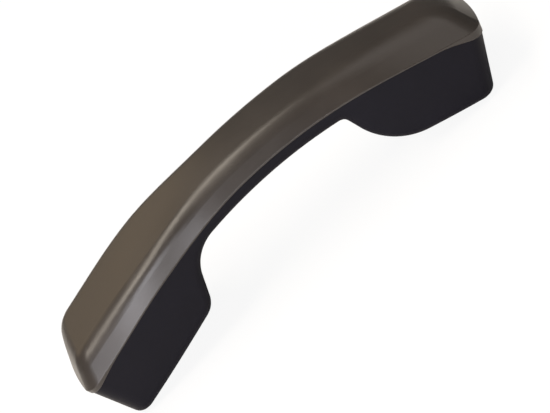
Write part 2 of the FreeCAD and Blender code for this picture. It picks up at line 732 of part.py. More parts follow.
def inner_cover():
    """Black cover: neck and two cups, with the seats of all that is fastened inside."""
    shell = round_lower_edges(trough(0.0, PARTING_GAP)).cut(trough(WALL, -WALL))
    added = []
    for s in screw_stations():
        added.append(place(disc(WELL_RADIUS + BOSS_WALL, NECK_DEPTH - WALL / 2, BOSS_END), s))
    for x in (-BALLAST_SCREW, BALLAST_SCREW):
        post = Part.makeCylinder(CASE_SCREW_RADIUS + BOSS_WALL, NECK_DEPTH - WALL,
                                 V(x, 0, at(x, 0, NECK_DEPTH - WALL / 2).z))
        added.append(post.cut(block(-BALLAST_LENGTH, BALLAST_LENGTH, -BALLAST_WIDTH, BALLAST_WIDTH,
                                    BALLAST_DEPTH, 0)))
    seat_radius = RECEIVER_RADIUS + FREE
    ring = tube(seat_radius + CRADLE, seat_radius, EAR.depth - WALL / 2, EAR_FLOOR + DISH - CRADLE_HEIGHT)
    for turn in (45, 135):
        notch = block(-2 * seat_radius, 2 * seat_radius, -CRADLE_NOTCH / 2, CRADLE_NOTCH / 2,
                      EAR_FLOOR - 1, EAR_FLOOR - 2 * CRADLE_HEIGHT)
        notch.rotate(V(0, 0, 0), V(0, 0, 1), turn)
        ring = ring.cut(notch)
    added.append(place(ring, EAR_STATION))
    added.append(place(disc(seat_radius + CRADLE / 2, EAR.depth - WALL / 2, EAR_FLOOR), EAR_STATION))
    boot_seat = CAPSULE_RADIUS + BOOT + FIT
    collar = tube(boot_seat + RIB, boot_seat, MOUTH.depth - WALL / 2, MOUTH_FLOOR - BOOT_SEAT)
    added.append(place(collar, -MOUTH_STATION))
    for side in (-1, 1):
        post = disc(BOARD_SCREW_RADIUS + BOSS_WALL, MOUTH.depth - WALL / 2, JACK_TOP)
        added.append(place(post, -BOARD_SCREW_STATION, side * BOARD_SCREW_SPREAD))
        y = side * JACK_WIDTH / 3
        rest = block(-JACK_FRONT + 3 * WALL, -JACK_FRONT + JACK_LENGTH, y - RIB / 2, y + RIB / 2,
                     MOUTH.depth - WALL / 2, JACK_DEPTH + JACK_HEIGHT / 2)
        added.append(place_end(rest))
    cover = fuse_all([shell] + added)
    cuts = [place(dish(), EAR_STATION), place(sound_holes(), EAR_STATION), place_end(jack_window())]
    for s in screw_stations():
        cuts.append(place(disc(WELL_RADIUS, NECK_DEPTH + 1, WELL_TOP), s))
        cuts.append(place(disc(CASE_SCREW_RADIUS + FIT, NECK_DEPTH, BOSS_END - 1), s))
    for x in (-BALLAST_SCREW, BALLAST_SCREW):
        pilot = disc(CASE_SCREW_RADIUS + THREAD, BALLAST_DEPTH + BALLAST_GRIP + FREE, BALLAST_DEPTH - 1, x)
        cuts.append(pilot)
    for i in (-1, 0, 1):
        hole = disc(TALK_HOLE_RADIUS, MOUTH.depth + 1, MOUTH_FLOOR - 1, 0, i * TALK_HOLE_PITCH)
        cuts.append(place(hole, -MOUTH_STATION))
    for side in (-1, 1):
        pilot = disc(BOARD_SCREW_RADIUS + THREAD, JACK_TOP + BOARD_SCREW_LENGTH, JACK_TOP - 1)
        cuts.append(place(pilot, -BOARD_SCREW_STATION, side * BOARD_SCREW_SPREAD))
    return cover.cut(Part.makeCompound(cuts))


def place_end(shape):
    """Shape drawn with X as minus the distance out along the mouth end, put in place."""
    start = MOUTH_REACH
    moved = shape.copy()
    moved.translate(V(start, 0, 0))
    return place(moved, -start)


def case_screws():
    """Two screws driven up through the neck into the outer cover."""
    body = upside_down(screw(CASE_SCREW_RADIUS, CASE_SCREW_LENGTH, SCREW_HEAD_RADIUS, SCREW_HEAD))
    return Part.makeCompound([place(body, s, 0, WELL_TOP) for s in screw_stations()])


def screw_plugs():
    """Two soft plugs that close the screw wells."""
    radius = WELL_RADIUS - 0.05
    plug = turned([(0, -PLUG), (radius - 0.3, -PLUG), (radius, -PLUG + 0.3), (radius, 0), (0, 0)])
    return Part.makeCompound([place(plug, s, 0, NECK_DEPTH - PLUG) for s in screw_stations()])


def receiver_basket():
    """Moulded frame of the receiver: a rim that holds the cone and arms down to the yoke."""
    rim = RECEIVER_RADIUS - RECEIVER_SKIN - FIT
    low = RECEIVER_FRONT - RECEIVER_RIM
    wide = tube(rim, CONE_RADIUS + AIR_GAP, low, low - BASKET)
    floor_depth = RECEIVER_BACK + 2 * YOKE
    wall = turned([(rim, -low + BASKET), (rim - BASKET, -low + BASKET), (YOKE_RADIUS + BASKET, -floor_depth),
                   (YOKE_RADIUS + BASKET, -floor_depth + BASKET),
                   (YOKE_RADIUS + 2 * BASKET, -floor_depth + BASKET)])
    neck = tube(YOKE_RADIUS + 2 * BASKET, YOKE_RADIUS, floor_depth + BASKET, floor_depth - BASKET)
    frame = fuse_all([wide, wall, neck])
    for i in range(4):
        window = block(YOKE_RADIUS + 2.5 * BASKET, rim - 1.5 * BASKET, -BASKET_WINDOW / 2, BASKET_WINDOW / 2,
                       low - BASKET / 2, floor_depth - 2)
        window.rotate(V(0, 0, 0), V(0, 0, 1), 45 + 90 * i)
        frame = frame.cut(window)
    return place(frame, EAR_STATION)


def receiver_front_cover():
    """Pressed front of the receiver, with its own ring of holes."""
    rim = RECEIVER_FRONT - RECEIVER_RIM
    cup = disc(RECEIVER_RADIUS, RECEIVER_FRONT, rim - BASKET / 2)
    cup = cup.cut(disc(RECEIVER_RADIUS - RECEIVER_SKIN, RECEIVER_FRONT - RECEIVER_SKIN, rim - BASKET))
    holes = [disc(1.0, RECEIVER_FRONT + 1, rim, 0, 0)]
    for i in range(6):
        turn = math.pi / 3 * i
        holes.append(disc(1.0, RECEIVER_FRONT + 1, rim, 6 * math.cos(turn), 6 * math.sin(turn)))
    return place(cup.cut(Part.makeCompound(holes)), EAR_STATION)


def diaphragm_ring():
    """Ring clamped between the basket's rim and the front cover, round the moving cone."""
    outer = RECEIVER_RADIUS - RECEIVER_SKIN - FIT
    low = RECEIVER_FRONT - RECEIVER_SKIN
    return place(tube(outer, CONE_RADIUS + AIR_GAP, low, RECEIVER_FRONT - RECEIVER_RIM), EAR_STATION)


def diaphragm():
    """Thin domed cone with a rolled edge, carried by the voice coil."""
    edge, middle, roll = -CONE_REST + CONE_DOME / 2, -CONE_REST, COIL_RADIUS
    seat_height = -COIL_TOP
    section = [(0, middle), (roll * 0.5, middle + CONE_DOME * 0.3),
               (roll - COIL_WALL / 2, seat_height - CONE_SKIN),
               (roll + CONE_RADIUS * 0.25, middle + CONE_DOME * 0.25), (CONE_RADIUS, edge)]
    upper = [(r, z + CONE_SKIN) for r, z in reversed(section)]
    return place(turned(section + upper), EAR_STATION)


def voice_coil():
    """Wound ring that hangs in the magnet's air gap."""
    return place(tube(COIL_RADIUS, COIL_RADIUS - COIL_WALL, COIL_TOP, COIL_END), EAR_STATION)


def receiver_pole_plate():
    """Steel disc on the magnet, inside the voice coil."""
    radius = COIL_RADIUS - COIL_WALL - AIR_GAP
    return place(disc(radius, POLE_FACE, MAGNET_FACE), EAR_STATION)


def receiver_magnet():
    """Magnet disc between the pole plate and the yoke."""
    radius = COIL_RADIUS - COIL_WALL - 2 * AIR_GAP
    return place(disc(radius, MAGNET_FACE, YOKE_FACE), EAR_STATION)


def receiver_yoke():
    """Steel pot round the magnet."""
    pot = disc(YOKE_RADIUS, POLE_FACE, RECEIVER_BACK)
    return place(pot.cut(disc(YOKE_RADIUS - YOKE_WALL, POLE_FACE + 1, YOKE_FACE)), EAR_STATION)


def receiver_terminal_board():
    """Small round board on the back of the yoke, with one flat."""
    radius = YOKE_RADIUS - FREE
    board = disc(radius, RECEIVER_BACK, RECEIVER_BACK - TERMINAL_BOARD)
    trim = block(-radius, radius, -radius, -radius * 0.7, RECEIVER_BACK + 1, PAD_FACE)
    return place(board.cut(trim), EAR_STATION)


def receiver_pad():
    """Foam block that the outer cover's cross post presses on the capsule."""
    half = PAD_SIZE / 2
    return place(block(-half, half, -half, half, PAD_FACE + PAD, PAD_FACE), EAR_STATION)


def receiver_gasket():
    """Foam ring between the ear seat and the capsule."""
    return place(tube(RECEIVER_RADIUS - 1, DISH_RADIUS, EAR_FLOOR, RECEIVER_FRONT), EAR_STATION)


def receiver_cloth():
    """Dust cloth over the sound holes."""
    return place(disc(DISH_RADIUS - FREE, EAR_FLOOR, EAR_FLOOR - CLOTH), EAR_STATION)


def microphone_boot():
    """Rubber cup that holds the microphone against the mouth cup's floor."""
    radius = CAPSULE_RADIUS + BOOT
    cup = disc(radius, MOUTH_FLOOR, CAPSULE_BACK)
    cup = cup.cut(disc(CAPSULE_RADIUS + 0.05, MOUTH_FLOOR - BOOT_LIP, CAPSULE_BACK - 1))
    port = block(-1.5, 1.5, -TALK_HOLE_PITCH - 1, TALK_HOLE_PITCH + 1,
                 MOUTH_FLOOR + 1, MOUTH_FLOOR - BOOT_LIP - 1)
    return place(cup.cut(port), -MOUTH_STATION)


def microphone_felt():
    """Felt disc on the front of the microphone can."""
    return place(disc(CAPSULE_RADIUS - FREE, CAPSULE_FRONT + FELT, CAPSULE_FRONT), -MOUTH_STATION)


def microphone_can():
    """Drawn can of the microphone, open at the back."""
    can = disc(CAPSULE_RADIUS, CAPSULE_FRONT, CAPSULE_BACK)
    can = can.cut(disc(CAPSULE_RADIUS - CAPSULE_SKIN, CAPSULE_FRONT - CAPSULE_SKIN, CAPSULE_BACK - 1))
    return place(can.cut(disc(1.0, CAPSULE_FRONT + 1, CAPSULE_FRONT - 1)), -MOUTH_STATION)


def microphone_sleeve():
    """Ring inside the can that holds its board off the front."""
    radius = CAPSULE_RADIUS - CAPSULE_SKIN - 0.05
    low, high = CAPSULE_FRONT - CAPSULE_SKIN, CAPSULE_BACK + CAPSULE_BOARD
    return place(tube(radius, radius - 0.8, low, high), -MOUTH_STATION)


def microphone_board():
    """Round board that closes the can."""
    radius = CAPSULE_RADIUS - CAPSULE_SKIN - 0.05
    return place(disc(radius, CAPSULE_BACK + CAPSULE_BOARD, CAPSULE_BACK), -MOUTH_STATION)


def jack_housing():
    """Moulded socket: a keyed opening for the plug, its latch shoulders, and four contact slots."""
    half_y, half_z = JACK_WIDTH / 2, JACK_HEIGHT / 2
    front, back = -JACK_FRONT, -JACK_FRONT + JACK_LENGTH
    low, high = JACK_DEPTH + half_z, JACK_DEPTH - half_z
    body = block(front, back, -half_y, half_y, low, high)
    socket_low = JACK_DEPTH + JACK_SOCKET_HEIGHT / 2
    socket_high = JACK_DEPTH - JACK_SOCKET_HEIGHT / 2
    inner = front + JACK_SOCKET_LENGTH
    latch_low = socket_low + LATCH_DEPTH
    half_socket = JACK_SOCKET_WIDTH / 2
    cuts = [block(front - 1, inner, -half_socket, half_socket, socket_low, socket_high),
            block(front - 1, inner, -LATCH_WIDTH / 2, LATCH_WIDTH / 2, latch_low, socket_low - 1),
            block(front + 1.5, inner, -LATCH_SHOULDER_WIDTH / 2, LATCH_SHOULDER_WIDTH / 2,
                  latch_low, socket_low - 1)]
    for i in range(4):
        y = (i - 1.5) * CONTACT_PITCH
        width = CONTACT / 2 + FIT
        cuts.append(block(front + 2, back + 1, y - width, y + width,
                          socket_high + 1, socket_high - CONTACT - FIT))
    return place_end(body.cut(Part.makeCompound(cuts)))


def jack_contacts():
    """Four sprung wires that slope back into the socket, each with a pin up through the board."""
    top = -JACK_DEPTH + JACK_SOCKET_HEIGHT / 2
    front, back = -JACK_FRONT + 3.5, -JACK_FRONT + JACK_LENGTH
    pin_top = -BOARD_TOP + 0.8
    path = [(back + FIT + CONTACT, pin_top), (back + FIT, pin_top), (back + FIT, top + CONTACT),
            (front, top + CONTACT), (front - CONTACT, top), (front + 7.0, top - 1.6),
            (front + 7.0, top - 1.6 + CONTACT), (front + 1.0, top), (back + FIT + CONTACT, top)]
    outline_points = [V(x, 0, z) for x, z in path]
    face = Part.Face(Part.makePolygon(outline_points + outline_points[:1]))
    wires = []
    for i in range(4):
        wire = face.extrude(V(0, CONTACT, 0))
        wire.translate(V(0, (i - 1.5) * CONTACT_PITCH - CONTACT / 2, 0))
        wires.append(place_end(wire))
    return Part.makeCompound(wires)


def jack_board():
    """Circuit board on top of the jack, screwed to two posts."""
    board = block(-BOARD_END, -BOARD_START, -BOARD_WIDTH / 2, BOARD_WIDTH / 2, JACK_TOP, BOARD_TOP)
    corner = 2.5
    upright = [e for e in board.Edges if abs(e.Vertexes[0].Point.z - e.Vertexes[1].Point.z) > BOARD / 2]
    board = board.makeFillet(corner, upright)
    x = -JACK_FRONT + JACK_LENGTH + FIT + CONTACT / 2
    cuts = [block(x - 0.4, x + 0.4, -2 * CONTACT_PITCH, 2 * CONTACT_PITCH, JACK_TOP + 1, BOARD_TOP - 1)]
    for side in (-1, 1):
        cuts.append(disc(BOARD_SCREW_RADIUS + FIT, JACK_TOP + 1, BOARD_TOP - 1,
                         -BOARD_SCREW_STATION, side * BOARD_SCREW_SPREAD))
    return place_end(board.cut(Part.makeCompound(cuts)))


def jack_board_screws():
    """Two small screws through the board into its posts."""
    body = screw(BOARD_SCREW_RADIUS, BOARD_SCREW_LENGTH - FREE, BOARD_SCREW_RADIUS * 1.9, 1.3)
    return Part.makeCompound([place(body, -BOARD_SCREW_STATION, side * BOARD_SCREW_SPREAD, BOARD_TOP)
                              for side in (-1, 1)])


def ballast_bar():
    """Steel weight with rounded ends, held on two posts by screws."""
    half, edge = BALLAST_LENGTH / 2, BALLAST_WIDTH / 2
    bar = block(-half, half, -edge, edge, BALLAST_DEPTH, BALLAST_DEPTH - BALLAST)
    upright = [e for e in bar.Edges if abs(e.Vertexes[0].Point.z - e.Vertexes[1].Point.z) > BALLAST / 2]
    bar = bar.makeFillet(4.0, upright)
    for x in (-BALLAST_SCREW, BALLAST_SCREW):
        bar = bar.cut(disc(CASE_SCREW_RADIUS + FIT, BALLAST_DEPTH + 1, 0, x))
        bar = bar.cut(disc(WELL_RADIUS, BALLAST_DEPTH - BALLAST + SCREW_HEAD, 0, x))
    return bar


def ballast_screws():
    """Two screws that hold the weight down."""
    body = screw(CASE_SCREW_RADIUS, BALLAST - SCREW_HEAD + BALLAST_GRIP, SCREW_HEAD_RADIUS, SCREW_HEAD)
    pair = []
    for x in (-BALLAST_SCREW, BALLAST_SCREW):
        one = body.copy()
        one.translate(V(x, 0, -BALLAST_DEPTH + BALLAST - SCREW_HEAD))
        pair.append(one)
    return Part.makeCompound(pair)


def lead(points, radius):
    """Round lead along straight runs joined by tangent arcs."""
    edges = []
    last = points[0]
    for before, corner, after in zip(points, points[1:], points[2:]):
        half_turn = (corner - before).getAngle(after - corner) / 2
        shorter = min((corner - before).Length, (after - corner).Length)
        bend = 0.45 * shorter / math.tan(half_turn)
        print("lead bend radius", round(bend, 2))
        start, middle, end = round_off(corner, before, after, bend)
        edges.append(Part.LineSegment(last, start).toShape())
        edges.append(Part.Arc(start, middle, end).toShape())
        last = end
    edges.append(Part.LineSegment(last, points[-1]).toShape())
    path = Part.Wire(edges)
    section = Part.Wire(Part.makeCircle(radius, points[0], points[1] - points[0]))
    return path.makePipeShell([section], True, False)


def receiver_wires():
    """Pair of leads from the jack board along the neck to the receiver's terminals."""
    pair = []
    top = RECEIVER_BACK - TERMINAL_BOARD
    for i in (0, 1):
        y = LEAD_LANE + i * LEAD_PITCH
        board_y = 3.0 + i * 2.4
        land = EAR_STATION - 2.4 + i * 4.4
        land_y = 5.6 + i * 1.3
        points = [at(-BOARD_START - 3, board_y, BOARD_TOP), at(-BOARD_START - 3, board_y, LEAD_DEPTH),
                  at(-62, y - 1.2, LEAD_DEPTH), at(-44, y, LEAD_DEPTH), at(-15, y, LEAD_DEPTH),
                  at(15, y, LEAD_DEPTH), at(42, y, LEAD_DEPTH), at(60, y, LEAD_DEPTH + 1.6),
                  at(land, land_y, LEAD_DEPTH + LEAD_DROP), at(land, land_y, top)]
        pair.append(lead(points, LEAD_RADIUS))
    return Part.makeCompound(pair)


def microphone_wires():
    """Pair of short leads from the microphone's board, over and down to the jack board."""
    pair = []
    for i in (0, 1):
        y = 1.6 - 3.2 * i
        board_y = -2.6 - 2.3 * i
        points = [at(-MOUTH_STATION, y, CAPSULE_BACK), at(-MOUTH_STATION, y, LEAD_DEPTH + 1.2),
                  at(-BOARD_START - 3, board_y, LEAD_DEPTH + 1.2), at(-BOARD_START - 3, board_y, BOARD_TOP)]
        pair.append(lead(points, LEAD_RADIUS))
    return Part.makeCompound(pair)


PIECES = (outer_cover, inner_cover, case_screws, screw_plugs, receiver_basket, receiver_front_cover,
          diaphragm_ring, diaphragm, voice_coil, receiver_pole_plate, receiver_magnet, receiver_yoke,
          receiver_terminal_board, receiver_pad, receiver_gasket, receiver_cloth, microphone_boot,
          microphone_felt, microphone_can, microphone_sleeve, microphone_board, jack_housing,
          jack_contacts, jack_board, jack_board_screws, ballast_bar, ballast_screws, receiver_wires,
          microphone_wires)


def main():
    """Build every piece and write it, with the handset standing on its two cups."""
    os.makedirs("parts", exist_ok=True)
    for piece in PIECES:
        shape = piece()
        shape.translate(-ORIGIN)
        shape.exportStep("parts/" + piece.__name__ + ".step")
        print(piece.__name__, "solids", len(shape.Solids), "valid", shape.isValid(),
              "volume", round(shape.Volume, 1))


main()
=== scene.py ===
import math
import random
from collections import namedtuple

import bmesh
import bpy
from mathutils import Matrix, Vector


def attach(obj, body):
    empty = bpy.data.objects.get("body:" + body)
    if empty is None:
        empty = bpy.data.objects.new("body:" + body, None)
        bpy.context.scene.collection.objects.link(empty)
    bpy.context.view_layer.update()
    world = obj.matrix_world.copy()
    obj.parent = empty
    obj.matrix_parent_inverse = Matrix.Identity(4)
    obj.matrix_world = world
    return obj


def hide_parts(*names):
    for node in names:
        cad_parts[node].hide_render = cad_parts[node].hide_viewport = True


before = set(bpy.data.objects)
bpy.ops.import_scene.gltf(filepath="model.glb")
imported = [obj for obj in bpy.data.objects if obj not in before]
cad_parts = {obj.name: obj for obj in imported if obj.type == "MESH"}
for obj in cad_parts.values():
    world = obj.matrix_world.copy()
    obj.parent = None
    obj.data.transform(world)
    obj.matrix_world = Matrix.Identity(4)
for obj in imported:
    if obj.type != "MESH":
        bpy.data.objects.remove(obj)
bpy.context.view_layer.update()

# Camera that was fitted to the photograph: the way it looks, its roll, and how far it stands from the crown
# of the arch, which it sees beside and above the middle of its picture
IMAGE_WIDTH = 550
FOCAL_PX = 2076.17
AZIMUTH = math.radians(5.149)
ELEVATION = math.radians(30.025)
ROLL = math.radians(-45.233)
SHIFT_RIGHT = -0.019347
SHIFT_UP = 0.024607
DISTANCE = 0.78537
CROWN = Vector((0.0011, 0.0, 0.05275))
SENSOR_MM = 36
NEAREST = 0.01
FARTHEST = 20

# Points of the top line over the receiver and the microphone, and how far the line tilts there
EAR_POINT = Vector((0.08273297, 0.0, 0.04018855))
EAR_TILT = math.radians(15.6)
MOUTH_POINT = Vector((-0.07647962, 0.0, 0.04129197))
MOUTH_TILT = math.radians(-15.9)

# Samples that the materials take to find edges, and to paint shade into the joint between the covers
EDGE_SAMPLES = 6
SEAM_SHADE_SAMPLES = 8

# Soft pieces: how tight they are, how many faces they have, and the form of their edges
FOAM_CUTS = 7
FOAM_DRAWN_IN = 0.06
FOAM_SOFT_EDGE = 0.035
FOAM_EDGE_POWER = 8
FOAM_UNEVEN = 0.006
FINE_TURNS = 96
FELT_TURNS = 64
CLOTH_RINGS = 10
FELT_RINGS = 4
GASKET_ROUND = 0.0004
THIN_ROUND = 0.0001
GASKET_UNEVEN = 0.00006
FELT_UNEVEN = 0.00005
RIM_IN = 0.3
RIM_DEEP = 0.15

# Light boxes, in watts, all turned towards the middle of the handset
Box = namedtuple("Box", "name place width height power colour")
LIGHT_BOXES = [
    Box("top_box", (-0.36, 0.15, 1.25), 1.6, 0.36, 15, (1.0, 0.90, 0.77)),
    Box("left_box", (-0.72, -0.42, 1.10), 0.6, 0.45, 5, (1.0, 0.90, 0.80)),
    Box("right_box", (0.60, 0.20, 1.15), 0.5, 0.4, 1.0, (1.0, 0.93, 0.88)),
    Box("back_box", (-0.70, 1.2, 0.66), 1.1, 0.4, 1.4, (1.0, 0.74, 0.44)),
    Box("front_box", (-0.60, -1.32, 0.32), 1.1, 0.58, 18, (0.95, 0.94, 1.0)),
]
LIT_POINT = Vector((0, 0, 0.03))
WORLD_COLOUR = (1.0, 0.99, 0.98, 1)
WORLD_LEVEL = 0.15

# Floor, which the camera sees as nearly white
FLOOR_REACH = 6.0
FLOOR_COLOUR = (0.86, 0.86, 0.86, 1)
FLOOR_GLOW = 1.03
FLOOR_GLOW_SHARE = 0.88


def aim_camera():
    """Camera at the photograph's angle, with its roll."""
    forward = Vector((-math.sin(AZIMUTH) * math.cos(ELEVATION), math.cos(AZIMUTH) * math.cos(ELEVATION),
                      -math.sin(ELEVATION)))
    level = Vector((math.cos(AZIMUTH), math.sin(AZIMUTH), 0))
    above = level.cross(forward)
    right = level * math.cos(ROLL) + above * math.sin(ROLL)
    up = above * math.cos(ROLL) - level * math.sin(ROLL)
    data = bpy.data.cameras.new("camera")
    data.sensor_width = SENSOR_MM
    data.lens = FOCAL_PX / IMAGE_WIDTH * SENSOR_MM
    data.clip_start = NEAREST
    data.clip_end = FARTHEST
    camera = bpy.data.objects.new("camera", data)
    place = CROWN - right * SHIFT_RIGHT - up * SHIFT_UP - forward * DISTANCE
    turn = Matrix((right, up, -forward)).transposed().to_4x4()
    camera.matrix_world = Matrix.Translation(place) @ turn
    bpy.context.scene.collection.objects.link(camera)
    bpy.context.scene.camera = camera


class Nodes:
    """Short way to build one material's node tree. Texture scales are counts per metre."""

    def __init__(self, name):
        self.material = bpy.data.materials.new(name)
        self.material.use_nodes = True
        self.tree = self.material.node_tree
        self.shader = self.tree.nodes["Principled BSDF"]
        self.place = self.add("ShaderNodeTexCoord").outputs["Object"]

    def add(self, kind, **settings):
        """A node with its settings: properties by their own names, sockets with _ for a space."""
        node = self.tree.nodes.new(kind)
        for key, value in settings.items():
            if hasattr(node, key):
                setattr(node, key, value)
            else:
                self.feed(node.inputs[key.replace("_", " ")], value)
        return node

    def feed(self, socket, value):
        """Link an output to the socket, or set its constant."""
        if isinstance(value, bpy.types.NodeSocket):
            self.tree.links.new(value, socket)
        else:
            socket.default_value = value

    def noise(self, scale, detail=2.0, roughness=0.5, stretch=None):
        """Cloudy noise, drawn out along some axes by a stretch."""
        place = self.place
        if stretch is not None:
            place = self.add("ShaderNodeMapping", Vector=place, Scale=stretch).outputs[0]
        node = self.add("ShaderNodeTexNoise", Vector=place, Scale=scale, Detail=detail, Roughness=roughness)
        return node.outputs["Fac"]

    def cells(self, scale, feature="F1"):
        """Distance within a pattern of cells."""
        node = self.add("ShaderNodeTexVoronoi", feature=feature, Vector=self.place, Scale=scale)
        return node.outputs["Distance"]

    def bands(self, direction, scale, distortion=0.0):
        """Even bands across one axis."""
        node = self.add("ShaderNodeTexWave", wave_type="BANDS", bands_direction=direction, Vector=self.place,
                        Scale=scale, Distortion=distortion)
        return node.outputs["Fac"]

    def weave(self, scale):
        """Bands both ways, multiplied."""
        return self.math("MULTIPLY", self.bands("X", scale), self.bands("Y", scale))

    def ramp(self, fac, low, high, a=0.0, b=1.0):
        """The value's range from low to high, made to run from a to b."""
        node = self.add("ShaderNodeMapRange", Value=fac, From_Min=low, From_Max=high, To_Min=a, To_Max=b)
        return node.outputs["Result"]

    def mix(self, fac, a, b):
        """Colour a turned into b by the factor."""
        node = self.tree.nodes.new("ShaderNodeMix")
        node.data_type = "RGBA"
        self.feed(node.inputs["Factor"], fac)
        self.feed(node.inputs["A"], a)
        self.feed(node.inputs["B"], b)
        return node.outputs["Result"]

    def math(self, operation, a, b):
        node = self.add("ShaderNodeMath", operation=operation)
        self.feed(node.inputs[0], a)
        self.feed(node.inputs[1], b)
        return node.outputs[0]

    def edges(self, radius, low=0.02, high=0.2):
        """1 along convex and concave edges that are tighter than the radius."""
        soft = self.add("ShaderNodeBevel", samples=EDGE_SAMPLES, Radius=radius).outputs["Normal"]
        hard = self.add("ShaderNodeNewGeometry").outputs["Normal"]
        gap = self.add("ShaderNodeVectorMath", operation="DISTANCE")
        self.feed(gap.inputs[0], soft)
        self.feed(gap.inputs[1], hard)
        return self.ramp(gap.outputs["Value"], low, high)

    def bumps(self, *layers, bevel=0.0):
        """Bump from (height, strength, distance) layers, over an optional bevelled normal."""
        normal = None
        if bevel:
            normal = self.add("ShaderNodeBevel", samples=EDGE_SAMPLES, Radius=bevel).outputs["Normal"]
        for height, strength, distance in layers:
            node = self.add("ShaderNodeBump", Height=height, Strength=strength, Distance=distance)
            if normal is not None:
                self.feed(node.inputs["Normal"], normal)
            normal = node.outputs["Normal"]
        self.feed(self.shader.inputs["Normal"], normal)

    def set(self, **values):
        """Settings of the shader itself, and the finished material."""
        for key, value in values.items():
            self.feed(self.shader.inputs[key.replace("_", " ")], value)
        return self.material


def rgb(red, green, blue):
    """Linear colour from the 0 to 255 values seen on a screen."""
    def linear(value):
        v = value / 255
        return v / 12.92 if v <= 0.04045 else ((v + 0.055) / 1.055) ** 2.4
    return (linear(red), linear(green), linear(blue), 1.0)


def shade(colour, factor):
    """The colour made darker or lighter."""
    return tuple(min(1.0, c * factor) for c in colour[:3]) + (1.0,)


def moulded(name, colour, roughness, grain=0.35, wear=0.35, specular=0.5, bevel=0.0004, painted_seam_shade=False):
    """Spark-textured moulded plastic, polished a little along its edges, with painted shade in the joint
    under another part when asked.
    """
    n = Nodes(name)
    grit = n.cells(1500.0)
    fine = n.noise(2600.0, 3.0, 0.6)
    cloud = n.noise(38.0, 3.0, 0.55)
    edge = n.edges(0.0008)
    scuff = n.ramp(n.noise(120.0, 5.0, 0.7, stretch=(1.0, 3.0, 3.0)), 0.62, 0.74)
    worn = n.math("MULTIPLY", edge, n.ramp(n.noise(90.0, 3.0, 0.6), 0.35, 0.65, 0.25, 1.0))
    base = n.mix(n.ramp(cloud, 0.3, 0.7), shade(colour, 0.88), shade(colour, 1.12))
    base = n.mix(n.math("MULTIPLY", worn, wear), base, shade(colour, 1.9))
    base = n.mix(n.math("MULTIPLY", scuff, 0.12), base, shade(colour, 1.5))
    rough = n.ramp(cloud, 0.25, 0.75, roughness - 0.035, roughness + 0.045)
    rough = n.math("SUBTRACT", rough, n.math("MULTIPLY", worn, 0.08))
    rough = n.math("SUBTRACT", rough, n.math("MULTIPLY", scuff, 0.03))
    n.bumps((grit, grain * 0.4, 0.00005), (fine, grain, 0.00003), bevel=bevel)
    if painted_seam_shade:
        # Painted shade: ambient occlusion darkens the colour and the reflection tint in the narrow gap under
        # the outer cover's edge
        shelter = n.add("ShaderNodeAmbientOcclusion", samples=SEAM_SHADE_SAMPLES, Distance=0.0009).outputs["AO"]
        outside_painted_shade = n.ramp(shelter, 0.45, 0.9, 0.12, 1.0)
        base = n.mix(outside_painted_shade, (0.0, 0.0, 0.0, 1.0), base)
        n.set(Specular_Tint=n.mix(outside_painted_shade, (0.1, 0.1, 0.1, 1.0), (1.0, 1.0, 1.0, 1.0)))
    return n.set(Base_Color=base, Roughness=rough, Specular_IOR_Level=specular)


def metal(name, colour, roughness, brushed=(1.0, 1.0, 1.0), grain=0.12):
    """Plated or bare metal with a drawn grain, stains and bright edges."""
    n = Nodes(name)
    lines = n.noise(1400.0, 3.0, 0.6, stretch=brushed)
    cloud = n.noise(180.0, 4.0, 0.6)
    edge = n.edges(0.0003, 0.05, 0.4)
    base = n.mix(n.ramp(cloud, 0.35, 0.7), shade(colour, 0.82), colour)
    base = n.mix(n.math("MULTIPLY", edge, 0.5), base, shade(colour, 1.25))
    rough = n.math("ADD", n.ramp(lines, 0.3, 0.7, roughness - 0.06, roughness + 0.08),
                   n.ramp(cloud, 0.4, 0.8, 0.0, 0.08))
    n.bumps((lines, grain, 0.00003), bevel=0.0001)
    return n.set(Base_Color=base, Metallic=1.0, Roughness=rough)


def soft_foam(name, colour):
    """Closed-cell foam or felt with an open, grainy face."""
    n = Nodes(name)
    pores = n.cells(2600.0)
    fluff = n.noise(1700.0, 5.0, 0.7)
    base = n.mix(n.ramp(pores, 0.1, 0.5), shade(colour, 0.55), shade(colour, 1.25))
    base = n.mix(n.ramp(fluff, 0.4, 0.7, 0.0, 0.4), base, shade(colour, 1.6))
    n.bumps((pores, 0.7, 0.00015), (fluff, 0.4, 0.0001))
    return n.set(Base_Color=base, Roughness=n.ramp(fluff, 0.3, 0.7, 0.82, 0.96), Specular_IOR_Level=0.2)


def woven(name, colour):
    """Fine woven acoustic cloth."""
    n = Nodes(name)
    weave = n.weave(620.0)
    base = n.mix(weave, shade(colour, 0.4), shade(colour, 1.7))
    n.bumps((weave, 0.7, 0.0001))
    return n.set(Base_Color=base, Roughness=n.ramp(weave, 0.0, 1.0, 0.95, 0.75), Sheen_Weight=0.3)


def board(name, colour):
    """Circuit board: green solder mask over a faint glass weave and copper areas."""
    n = Nodes(name)
    glass = n.weave(260.0)
    copper = n.ramp(n.cells(420.0, "DISTANCE_TO_EDGE"), 0.04, 0.06)
    base = n.mix(copper, shade(colour, 1.7), colour)
    base = n.mix(n.math("MULTIPLY", glass, 0.2), base, shade(colour, 1.5))
    base = n.mix(n.edges(0.0003, 0.05, 0.4), base, rgb(150, 140, 90))
    n.bumps((copper, 0.25, 0.00004), (glass, 0.1, 0.00002), bevel=0.0001)
    return n.set(Base_Color=base, Roughness=n.ramp(n.noise(300.0), 0.3, 0.7, 0.24, 0.36))


def film(name, colour):
    """Thin formed film, slightly cloudy and slightly uneven."""
    n = Nodes(name)
    cloud = n.noise(260.0, 3.0, 0.5)
    base = n.mix(n.ramp(cloud, 0.3, 0.7), shade(colour, 0.85), shade(colour, 1.1))
    n.bumps((n.noise(900.0), 0.1, 0.00002), bevel=0.0001)
    return n.set(Base_Color=base, Roughness=n.ramp(cloud, 0.3, 0.7, 0.14, 0.26), IOR=1.6)


